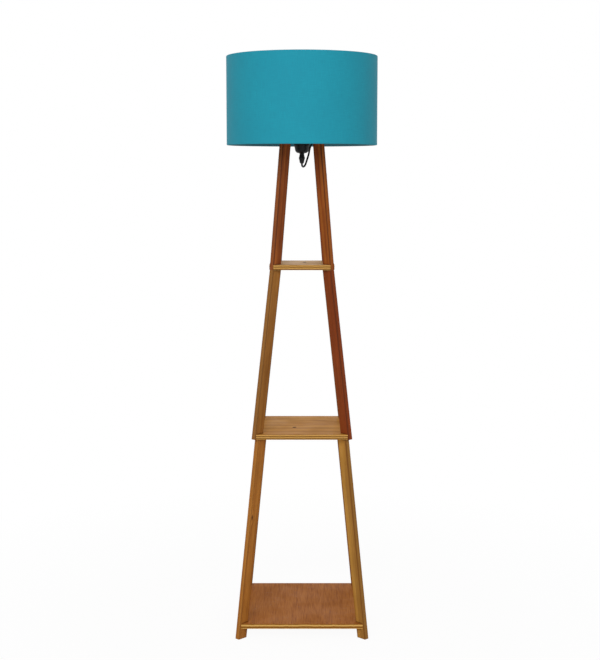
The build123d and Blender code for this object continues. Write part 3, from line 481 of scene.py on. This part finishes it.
# spark-eroded ABS: charcoal with a fine matt grain on the switch
sparked = mouldedFinish("sparkedAbs", {
    "tones": [(0.3, "#141517"), (0.7, "#202124")], "dust": 0.10, "gloss": (0.50, 0.62),
    "relief": 0.00010, "ior": 1.54, "shine": 0.35})


# metals, enamel and glaze share a cloudy tone and fine brushing
brushing = {"perMetre": 1500, "relief": 0.00001}


def metalFinish(name, look):
    finish, tree, shader, where = newFinish(name)
    cloudy = speckle(tree, where, look["cloudsPerMetre"], 4, rough=0.6)
    brushed = speckle(tree, where, brushing["perMetre"], 2, look["brush"])
    colour = spread(put(tree, "ShaderNodeValToRGB", {0: cloudy}), look["tones"])
    uneven = work(tree, "MULTIPLY_ADD", brushed, 0.5, work(tree, "MULTIPLY", cloudy, 0.5))
    gloss = work(tree, "fade", uneven, 0.3, 0.7, *look["gloss"])
    wear(tree, shader, colour, gloss, brushed, brushing["relief"])
    shader.inputs["Metallic"].default_value = look["metallic"]
    return finish


# zinc-plated steel: pale grey, satin and faintly clouded
zinc = metalFinish("zincPlatedSteel", {
    "cloudsPerMetre": 320, "brush": (1, 1, 0.2), "metallic": 1.0, "gloss": (0.28, 0.44),
    "tones": [(0.3, "#A9ABAD"), (0.7, "#C8C9C8")]})
# rolled brass: warm yellow with a soft shine, on the screw shell and the contacts
brass = metalFinish("rolledBrass", {
    "cloudsPerMetre": 180, "brush": (0.2, 0.2, 1), "metallic": 1.0, "gloss": (0.22, 0.38),
    "tones": [(0.3, "#B58E48"), (0.7, "#D2AE66")]})
# nickel-plated brass: a warm silver on the plug's blades
bladeBrass = metalFinish("nickelPlatedBrass", {
    "cloudsPerMetre": 240, "brush": (0.2, 1, 1), "metallic": 1.0, "gloss": (0.22, 0.34),
    "tones": [(0.3, "#B9B6AC"), (0.7, "#D3D0C6")]})
# enamelled wire: off-white, shining softly inside the shade
enamel = metalFinish("enamelledWire", {
    "cloudsPerMetre": 90, "brush": (1, 1, 1), "metallic": 0.0, "gloss": (0.30, 0.42),
    "tones": [(0.3, "#D2D2CC"), (0.7, "#E4E4DF")]})
# glazed porcelain: cream and glassy round the shell
porcelain = metalFinish("glazedPorcelain", {
    "cloudsPerMetre": 120, "brush": (1, 1, 1), "metallic": 0.0, "gloss": (0.14, 0.24),
    "tones": [(0.3, "#DAD6CB"), (0.7, "#E8E5DC")]})

dress(["lampholder_body", "lampholder_cap", "shade_ring"], phenolic)
dress(["cord_grip", "cord_clips", "plug_body", "switch_bushings"], mouldedPvc)
dress(["switch_base", "switch_cover", "switch_rocker"], sparked)
dress(["base_screws", "middle_shelf_dowels", "top_shelf_dowels", "plate_screws", "terminal_screws",
       "clip_nails", "switch_spring", "switch_screws"], zinc)
dress(["switch_contacts", "socket_shell", "centre_contact"], brass)
dress(["plug_blades"], bladeBrass)
dress(["lampholder_insert"], porcelain)
dress(["shade_frame", "shade_top_wire"], enamel)
for piece in (upperLead, lowerLead):
    piece.data.materials.append(pvc)


# dyed cotton on a stiff lining: even teal and a fine weave; inside, the lining is greyer and darkened with
# painted shade
def clothFinish(look):
    finish, tree, shader, where = newFinish("laminatedCotton")
    cut = put(tree, "ShaderNodeUVMap", uv_map="UVMap").outputs[0]
    threadPlace = put(tree, "ShaderNodeSeparateXYZ", {0: cut}).outputs
    # one thread up and one down; drawn at 1.3 mm where the real cloth has about 0.5 mm
    turns = [work(tree, "SINE", work(tree, "MULTIPLY", part, 2 * pi / look["thread"]))
             for part in threadPlace[:2]]
    weave = work(tree, "MULTIPLY", *turns)
    wefts = speckle(tree, cut, look["slubsPerMetre"], 2, (look["slubStretch"], 1, 1))
    warps = speckle(tree, cut, look["slubsPerMetre"], 2, (1, look["slubStretch"], 1))
    slubs = work(tree, "MULTIPLY", work(tree, "ADD", wefts, warps), 0.5)
    threads = work(tree, "MULTIPLY_ADD", weave, look["weaveShare"], slubs)
    cloud = speckle(tree, where, look["cloudsPerMetre"], 2)
    colour = spread(put(tree, "ShaderNodeValToRGB", {0: threads}), look["tones"])
    clouded = work(tree, "fade", cloud, 0.35, 0.7, 0, look["cloudShare"])
    colour = work(tree, "tint", clouded, colour, look["cloud"])
    # inside, where the surface faces the axis, is the lining: greyer than the cloth, and darker with painted
    # shade for the inside of the drum
    outwards = put(tree, "ShaderNodeVectorMath", {0: where, 1: (1, 1, 0)}, operation="MULTIPLY").outputs[0]
    outwards = put(tree, "ShaderNodeVectorMath", {0: outwards}, operation="NORMALIZE").outputs[0]
    normal = put(tree, "ShaderNodeNewGeometry").outputs["Normal"]
    facing = put(tree, "ShaderNodeVectorMath", {0: outwards, 1: normal},
                 operation="DOT_PRODUCT").outputs["Value"]
    inside = work(tree, "fade", facing, -0.35, 0.1, 1, 0)
    colour = work(tree, "tint", inside, colour, look["liningAndShade"])
    gloss = work(tree, "fade", threads, 0.3, 0.7, *look["gloss"])
    wear(tree, shader, colour, gloss, threads, look["relief"])
    for socket, value in look["surface"].items():
        shader.inputs[socket].default_value = value
    return finish


cloth = clothFinish({
    "thread": 0.0013, "weaveShare": 0.10, "slubsPerMetre": 700, "slubStretch": 0.06, "cloudsPerMetre": 11,
    "relief": 0.00012, "gloss": (0.78, 0.9), "cloud": "#1D8CA3", "cloudShare": 0.25, "liningAndShade": "#4E7F8C",
    "tones": [(0.28, "#198CA1"), (0.5, "#1D95AB"), (0.72, "#229CB1")],
    "surface": {"Sheen Weight": 0.08, "Sheen Roughness": 0.45, "Specular IOR Level": 0.25}})
print("finishes made")


# geometry nodes
def newTree(name, sizes):
    # a node tree with named inputs, given as name: (socket kind, value)
    tree = bpy.data.node_groups.new(name, "GeometryNodeTree")
    tree.interface.new_socket("Geometry", in_out="INPUT", socket_type="NodeSocketGeometry")
    tree.interface.new_socket("Geometry", in_out="OUTPUT", socket_type="NodeSocketGeometry")
    for label, (kind, value) in sizes.items():
        socket = tree.interface.new_socket(label, in_out="INPUT", socket_type=f"NodeSocket{kind}")
        if value is not None:
            socket.default_value = value
    return tree, put(tree, "NodeGroupInput").outputs


def close(tree, geometry, finish):
    solid = put(tree, "GeometryNodeRealizeInstances", {0: geometry}).outputs[0]
    smooth = put(tree, "GeometryNodeSetShadeSmooth", {0: solid}).outputs[0]
    painted = put(tree, "GeometryNodeSetMaterial", {0: smooth, "Material": finish}).outputs[0]
    put(tree, "NodeGroupOutput", {0: painted})


def grow(name, tree, points, edges, values, place=Matrix()):
    # runs a tree on a small start mesh and keeps the result as a plain mesh at the origin
    start = bpy.data.meshes.new(name + "Start")
    start.from_pydata([tuple(point) for point in points], edges, [])
    made = bpy.data.objects.new(name, start)
    modifier = made.modifiers.new("grow", "NODES")
    modifier.node_group = tree
    keys = {item.name: item.identifier for item in tree.interface.items_tree if item.in_out == "INPUT"}
    for label, value in values.items():
        modifier[keys[label]] = value
    bpy.context.collection.objects.link(made)
    graph = bpy.context.evaluated_depsgraph_get()
    mesh = bpy.data.meshes.new_from_object(made.evaluated_get(graph))
    mesh.transform(place)
    made.modifiers.clear()
    made.data = mesh
    mesh.name = name
    bpy.data.meshes.remove(start)
    return made


# a turned form: the outline's points give radius and height, and ribs, a thread or a lap follow a rule
lathe, given = newTree("turnedForm", {
    "Steps Round": ("Int", 64), "Steps Along": ("Int", 40),
    "Rib Count": ("Float", 0.0), "Rib Depth": ("Float", 0.0),
    "Pattern Start": ("Float", 0.0), "Pattern End": ("Float", 1.0),
    "Thread Pitch": ("Float", 1.0), "Thread Depth": ("Float", 0.0),
    "Lap Width": ("Float", 0.0), "Lap Depth": ("Float", 0.0), "Lap Slope": ("Float", 0.0006),
    "Finish": ("Material", None)})
outline = put(lathe, "GeometryNodeMeshToCurve", {0: given["Geometry"]}).outputs[0]
net = put(lathe, "GeometryNodeMeshGrid", {0: 1.0, 1: 1.0, 2: given["Steps Round"], 3: given["Steps Along"]})
position = put(lathe, "GeometryNodeInputPosition").outputs[0]
flat = put(lathe, "ShaderNodeSeparateXYZ", {0: position}).outputs
roundShare = work(lathe, "ADD", flat[0], 0.5)
alongShare = work(lathe, "ADD", flat[1], 0.5)
spot = put(lathe, "GeometryNodeSampleCurve", {"Curves": outline, "Factor": alongShare}, mode="FACTOR",
           use_all_curves=True).outputs["Position"]
radius, _, height = put(lathe, "ShaderNodeSeparateXYZ", {0: spot}).outputs
angle = work(lathe, "MULTIPLY", roundShare, 2 * pi)
pastStart = work(lathe, "GREATER_THAN", alongShare, given["Pattern Start"])
patterned = work(lathe, "MULTIPLY", pastStart, work(lathe, "LESS_THAN", alongShare, given["Pattern End"]))
# ribs: half waves round the axis
ribTurn = work(lathe, "MULTIPLY", work(lathe, "MULTIPLY", given["Rib Count"], 0.5), angle)
rib = work(lathe, "MULTIPLY", work(lathe, "ABSOLUTE", work(lathe, "SINE", ribTurn)), patterned)
radius = work(lathe, "MULTIPLY_ADD", rib, given["Rib Depth"], radius)
# thread: a wave that climbs one pitch each turn
climb = work(lathe, "MULTIPLY", work(lathe, "DIVIDE", height, given["Thread Pitch"]), 2 * pi)
crest = work(lathe, "SINE", work(lathe, "SUBTRACT", climb, angle))
crest = work(lathe, "MULTIPLY", patterned, crest)
radius = work(lathe, "MULTIPLY_ADD", crest, given["Thread Depth"], radius)
# lap: a raised strip at the back, a quarter turn round
lapEnd = work(lathe, "ADD", given["Lap Width"], given["Lap Slope"])
lapped = put(lathe, "ShaderNodeMapRange", {
    "Value": apart(lathe, roundShare, 0.25), "From Min": given["Lap Width"], "From Max": lapEnd,
    "To Min": given["Lap Depth"], "To Max": 0.0}).outputs[0]
radius = work(lathe, "ADD", radius, lapped)
placed = put(lathe, "ShaderNodeCombineXYZ", {
    0: work(lathe, "MULTIPLY", radius, work(lathe, "COSINE", angle)),
    1: work(lathe, "MULTIPLY", radius, work(lathe, "SINE", angle)), 2: height}).outputs[0]
marked = put(lathe, "GeometryNodeStoreNamedAttribute", {
    "Geometry": net.outputs["Mesh"], "Name": "UVMap", "Value": net.outputs["UV Map"]},
    data_type="FLOAT2", domain="CORNER").outputs[0]
turned = put(lathe, "GeometryNodeSetPosition", {"Geometry": marked, "Position": placed}).outputs[0]
turned = put(lathe, "GeometryNodeMergeByDistance", {"Geometry": turned, "Distance": 0.00001}).outputs[0]
close(lathe, turned, given["Finish"])


def turnedPiece(name, outline, sizes, finish, place=Matrix()):
    points = [(radius, 0, height) for radius, height in outline]
    edges = [(step, step + 1) for step in range(len(points) - 1)]
    return grow(name, lathe, points, edges, sizes | {"Finish": finish}, place)


def seat(piece, slot, *replaced, body="lamp"):
    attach(piece, body)
    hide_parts(*replaced)


# shade: the cloth goes round the rim wires in a rolled hem and is turned in behind
shade = {"radius": 0.1894, "bottom": 1.235, "top": 1.456, "thickness": 0.0007, "hemReach": 0.1878,
         "hemRadius": 0.00185, "turnIn": 0.010, "hemClear": 0.0032, "wallFrom": 0.0035, "inside": 1.3,
         "overWires": 0.006, "lapWidth": 0.012, "lapDepth": 0.0005, "snip": 0.0045, "snipTo": 0.0125}


def shadeOutline():
    # mid-line of the cloth, from the end turned in at the bottom, out and up, to the end turned in at the top
    def roll(level, first, last, steps=9):
        turns = [first + (last - first) * step / (steps - 1) for step in range(steps)]
        return [(shade["hemReach"] + shade["hemRadius"] * cos(turn), level + shade["hemRadius"] * sin(turn))
                for turn in turns]
    lowWire = shade["bottom"] + shade["hemRadius"] + shade["thickness"] / 2
    highWire = shade["top"] - shade["hemRadius"] - shade["thickness"] / 2
    inner = shade["radius"] - shade["inside"] * shade["thickness"]
    outer = shade["radius"]
    return ([(inner, lowWire + shade["turnIn"]), (inner, lowWire + shade["hemClear"])]
            + roll(lowWire, 0.75 * pi, 2 * pi)
            + [(outer, lowWire + shade["wallFrom"]), (outer, highWire - shade["wallFrom"])]
            + roll(highWire, 0, 1.25 * pi)
            + [(inner, highWire - shade["hemClear"]), (inner, highWire - shade["turnIn"])])


shadeCloth = turnedPiece("shadeCloth", shadeOutline(), {
    "Steps Round": 193, "Steps Along": 150, "Lap Width": shade["lapWidth"] / 2 / (2 * pi * shade["radius"]),
    "Lap Depth": shade["lapDepth"]}, cloth)
clothMesh = shadeCloth.data
# the cloth's own measure in metres: the seam to seam length, and the width with both hems
around = 2 * pi * shade["radius"]
flatWidth = shade["top"] - shade["bottom"] + 2 * shade["turnIn"] + shade["overWires"]
for loop in clothMesh.uv_layers["UVMap"].data:
    loop.uv = (loop.uv[0] * around, loop.uv[1] * flatWidth)
# the turned-in hem is snipped where the frame's arms reach the rim
armHeadings = [pi / 2 + index * 2 * pi / 3 for index in range(3)]
snipped = bmesh.new()
snipped.from_mesh(clothMesh)
band = snipped.loops.layers.uv["UVMap"]
spare = []
for face in snipped.faces:
    middle = face.calc_center_median()
    nearArm = any((Vector((cos(turn), sin(turn), 0)) * shade["hemReach"] - middle).xy.length < shade["snip"]
                  for turn in armHeadings)
    if nearArm and all(loop[band].uv.y < shade["snipTo"] for loop in face.loops):
        spare.append(face)
bmesh.ops.delete(snipped, geom=spare, context="FACES")
snipped.to_mesh(clothMesh)
snipped.free()
thick = shadeCloth.modifiers.new("thickness", "SOLIDIFY")
thick.thickness = shade["thickness"]
thick.offset = 0
seat(shadeCloth, "shade_cloth", "shade_fabric")
print("shade made")

# lampholder; an outline gives radius and height, and ends on the axis or closes on itself
# cap: a full bowl with a knurled band
capOutline = [
    (0, 1.2114), (0.0060, 1.2114), (0.0060, 1.2148), (0.0078, 1.2151), (0.0088, 1.2154), (0.0114, 1.2160),
    (0.0135, 1.2172), (0.0154, 1.2190), (0.0167, 1.2212), (0.0175, 1.2238), (0.0179, 1.2264),
    (0.0181, 1.2288), (0.0185, 1.2304), (0.0190, 1.2312), (0.0192, 1.2330), (0.0194, 1.2390),
    (0.0194, 1.2404), (0.0191, 1.2410), (0.0172, 1.2410), (0.0172, 1.2448), (0, 1.2448)]
cap = turnedPiece("lampholderCap", capOutline, {
    "Steps Round": 97, "Steps Along": 90, "Rib Count": 48.0, "Rib Depth": 0.00025,
    "Pattern Start": 0.52, "Pattern End": 0.60}, phenolic)
seat(cap, "holder_plastic", "lampholder_cap")
# cord grip: an acorn, ribbed to turn it by
gripOutline = [
    (0, 1.1894), (0.0030, 1.1894), (0.0042, 1.1898), (0.0050, 1.1914), (0.0058, 1.1936), (0.0060, 1.1962),
    (0.0064, 1.1986), (0.0072, 1.2008), (0.0077, 1.2030), (0.0072, 1.2052), (0.0067, 1.2076),
    (0.0062, 1.2096), (0.0061, 1.2108), (0.0058, 1.2114), (0, 1.2114)]
grip = turnedPiece("cordGrip", gripOutline, {
    "Steps Round": 97, "Steps Along": 60, "Rib Count": 16.0, "Rib Depth": 0.0003,
    "Pattern Start": 0.3, "Pattern End": 0.62}, mouldedPvc)
seat(grip, "cord_plastic", "cord_grip")
# screw shell: thin brass with a rolled thread
shellOutline = [(0.0080, 1.2660), (0.01365, 1.2660), (0.01365, 1.2870), (0.01335, 1.2870), (0.01335, 1.2664),
                (0.0080, 1.2664), (0.0080, 1.2660)]
shell = turnedPiece("socketShell", shellOutline, {
    "Steps Round": 73, "Steps Along": 130, "Thread Pitch": 0.00363, "Thread Depth": 0.00022,
    "Pattern Start": 0.14, "Pattern End": 0.86}, brass)
seat(shell, "socket_brass", "socket_shell")

# wood screws: one turned and threaded blank, its cross recess cut, set out at the corners
screwTree, given = newTree("crossScrews", {
    "Blank": ("Object", None), "Recess Length": ("Float", 0.0046), "Recess Width": ("Float", 0.0010),
    "Recess Depth": ("Float", 0.0016), "Finish": ("Material", None)})
cut = put(screwTree, "GeometryNodeObjectInfo", {"Object": given["Blank"]}).outputs["Geometry"]
deep = work(screwTree, "MULTIPLY", given["Recess Depth"], 2.0)
for sides in (("Recess Length", "Recess Width"), ("Recess Width", "Recess Length")):
    size = put(screwTree, "ShaderNodeCombineXYZ", {
        0: given[sides[0]], 1: given[sides[1]], 2: deep}).outputs[0]
    cutter = put(screwTree, "GeometryNodeMeshCube", {"Size": size}).outputs["Mesh"]
    cut = put(screwTree, "GeometryNodeMeshBoolean", {"Mesh 1": cut, "Mesh 2": cutter},
              operation="DIFFERENCE").outputs[0]
setOut = put(screwTree, "GeometryNodeInstanceOnPoints", {"Points": given["Geometry"], "Instance": cut})
close(screwTree, setOut.outputs[0], given["Finish"])
screw = {"tip": 0.0004, "tipRise": 0.0003, "core": 0.0018, "taper": 0.0045, "threadTo": 0.012,
         "shank": 0.00215, "shankFrom": 0.0115, "headFrom": 0.0020, "head": 0.0040, "rim": 0.0002,
         "pitch": 0.0018, "threadDepth": 0.00032, "threadFrom": 0.06, "acrossHead": 0.0055}


def crossScrews(name, look, replaced, place=Matrix()):
    length = look["length"]
    outline = [(0, -length), (screw["tip"], -length + screw["tipRise"]),
               (screw["core"], -length + screw["taper"]), (screw["core"], -screw["threadTo"]),
               (screw["shank"], -screw["shankFrom"]), (screw["shank"], -screw["headFrom"]),
               (screw["head"], -screw["rim"]), (screw["head"], 0), (0, 0)]
    blank = turnedPiece(name + "Blank", outline, {
        "Steps Round": 17, "Steps Along": look["steps"], "Thread Pitch": screw["pitch"],
        "Thread Depth": screw["threadDepth"], "Pattern Start": screw["threadFrom"],
        "Pattern End": (length - screw["threadTo"]) / (length + screw["acrossHead"])}, zinc)
    corners = [(x * look["reach"], y * look["reach"], look["level"]) for x, y in legCorners.values()]
    made = grow(name, screwTree, corners, [], {"Blank": blank, "Finish": zinc}, place)
    bpy.data.objects.remove(blank)
    seat(made, "zinc_steel", replaced)


crossScrews("plateScrews", {"reach": 0.04088, "level": 1.263, "length": 0.038, "steps": 130},
            "plate_screws")
crossScrews("baseScrews", {"reach": 0.14846, "level": 0.0, "length": 0.062, "steps": 190}, "base_screws",
            Matrix.Rotation(pi, 4, "X"))

# welds: lumps of metal where the shade's arms meet the hub and the lower rim
weldTree, given = newTree("welds", {
    "Radius": ("Float", 0.0021), "Lumps": ("Float", 0.0011), "Lump Scale": ("Float", 520.0),
    "Lump Level": ("Float", 0.62), "Finish": ("Material", None)})
bead = put(weldTree, "GeometryNodeMeshIcoSphere", {"Radius": given["Radius"], "Subdivisions": 4})
beads = put(weldTree, "GeometryNodeInstanceOnPoints", {
    "Points": given["Geometry"], "Instance": bead.outputs["Mesh"]}).outputs[0]
beads = put(weldTree, "GeometryNodeRealizeInstances", {0: beads}).outputs[0]
lumps = put(weldTree, "ShaderNodeTexNoise", {"Scale": given["Lump Scale"], "Detail": 1.0}).outputs["Fac"]
push = work(weldTree, "SUBTRACT", lumps, given["Lump Level"])
push = work(weldTree, "MULTIPLY", push, given["Lumps"])
outwards = put(weldTree, "GeometryNodeInputNormal").outputs[0]
outwards = put(weldTree, "ShaderNodeVectorMath", {0: outwards, "Scale": push}, operation="SCALE").outputs[0]
beads = put(weldTree, "GeometryNodeSetPosition", {"Geometry": beads, "Offset": outwards}).outputs[0]
close(weldTree, beads, given["Finish"])
weldRings = ((0.0288, 1.2645), (0.1868, 1.2376))  # radius and height at the hub and at the rim
weldPlaces = [(reach * cos(turn), reach * sin(turn), level) for turn in armHeadings
              for reach, level in weldRings]
welds = grow("frameWelds", weldTree, weldPlaces, [], {"Finish": enamel})
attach(welds, "lamp")
print("lampholder, screws and welds made")

bpy.context.scene.view_settings.view_transform = "Standard"

# floor, lights and white surroundings; near the feet the floor keeps a little of its own shade
stage = {"card": "#F4F4F2", "nearWhite": 0.95, "shadeFrom": 0.5, "whiteFrom": 1.4, "reach": 9.0,
         "under": 0.0004, "skyLight": 0.42, "aim": (0, 0, 0.9)}
floorFinish, tree, shader, where = newFinish("floorCard")
tree.nodes.remove(shader)
output = tree.nodes["Material Output"]
away = put(tree, "ShaderNodeVectorMath", {0: where}, operation="LENGTH").outputs["Value"]
far = put(tree, "ShaderNodeMapRange", {
    "Value": away, "From Min": stage["shadeFrom"], "From Max": stage["whiteFrom"],
    "To Min": stage["nearWhite"], "To Max": 1.0}).outputs[0]
share = work(tree, "MULTIPLY", seenRays(tree), far)
card = put(tree, "ShaderNodeBsdfDiffuse", {"Color": stage["card"]}).outputs[0]
glow = put(tree, "ShaderNodeEmission", {"Color": (1, 1, 1, 1), "Strength": 1.0}).outputs[0]
mixed = put(tree, "ShaderNodeMixShader", {0: share, 1: card, 2: glow}).outputs[0]
tree.links.new(mixed, output.inputs["Surface"])

floorMesh = bpy.data.meshes.new("floor")
floorCorners = [(x * stage["reach"], y * stage["reach"], 0) for x, y in ((-1, -1), (1, -1), (1, 1), (-1, 1))]
floorMesh.from_pydata(floorCorners, [], [(0, 1, 2, 3)])
floorMesh.materials.append(floorFinish)
floor = bpy.data.objects.new("floor", floorMesh)
floor.location.z = -stage["under"]
bpy.context.collection.objects.link(floor)

world = bpy.data.worlds.new("studio")
bpy.context.scene.world = world
world.use_nodes = True
tree = world.node_tree
background = tree.nodes["Background"]
strength = put(tree, "ShaderNodeMapRange", {
    "Value": seenRays(tree), "To Min": stage["skyLight"], "To Max": 1.0}).outputs[0]
tree.links.new(strength, background.inputs["Strength"])
background.inputs["Color"].default_value = (1, 1, 1, 1)

lights = {
    "key": {"place": (-0.7, -3.2, 2.7), "size": 1.8, "power": 61},
    "fill": {"place": (1.8, -2.6, 1.2), "size": 2.0, "power": 7},
    "back": {"place": (0.6, 3.0, 2.2), "size": 2.0, "power": 18},
}
for name, look in lights.items():
    lightData = bpy.data.lights.new(name, "AREA")
    lightData.energy = look["power"]
    lightData.size = look["size"]
    light = bpy.data.objects.new(name, lightData)
    light.location = look["place"]
    towards = Vector(stage["aim"]) - Vector(look["place"])
    light.rotation_euler = towards.to_track_quat("-Z", "Y").to_euler()
    bpy.context.collection.objects.link(light)
print("stage lit")
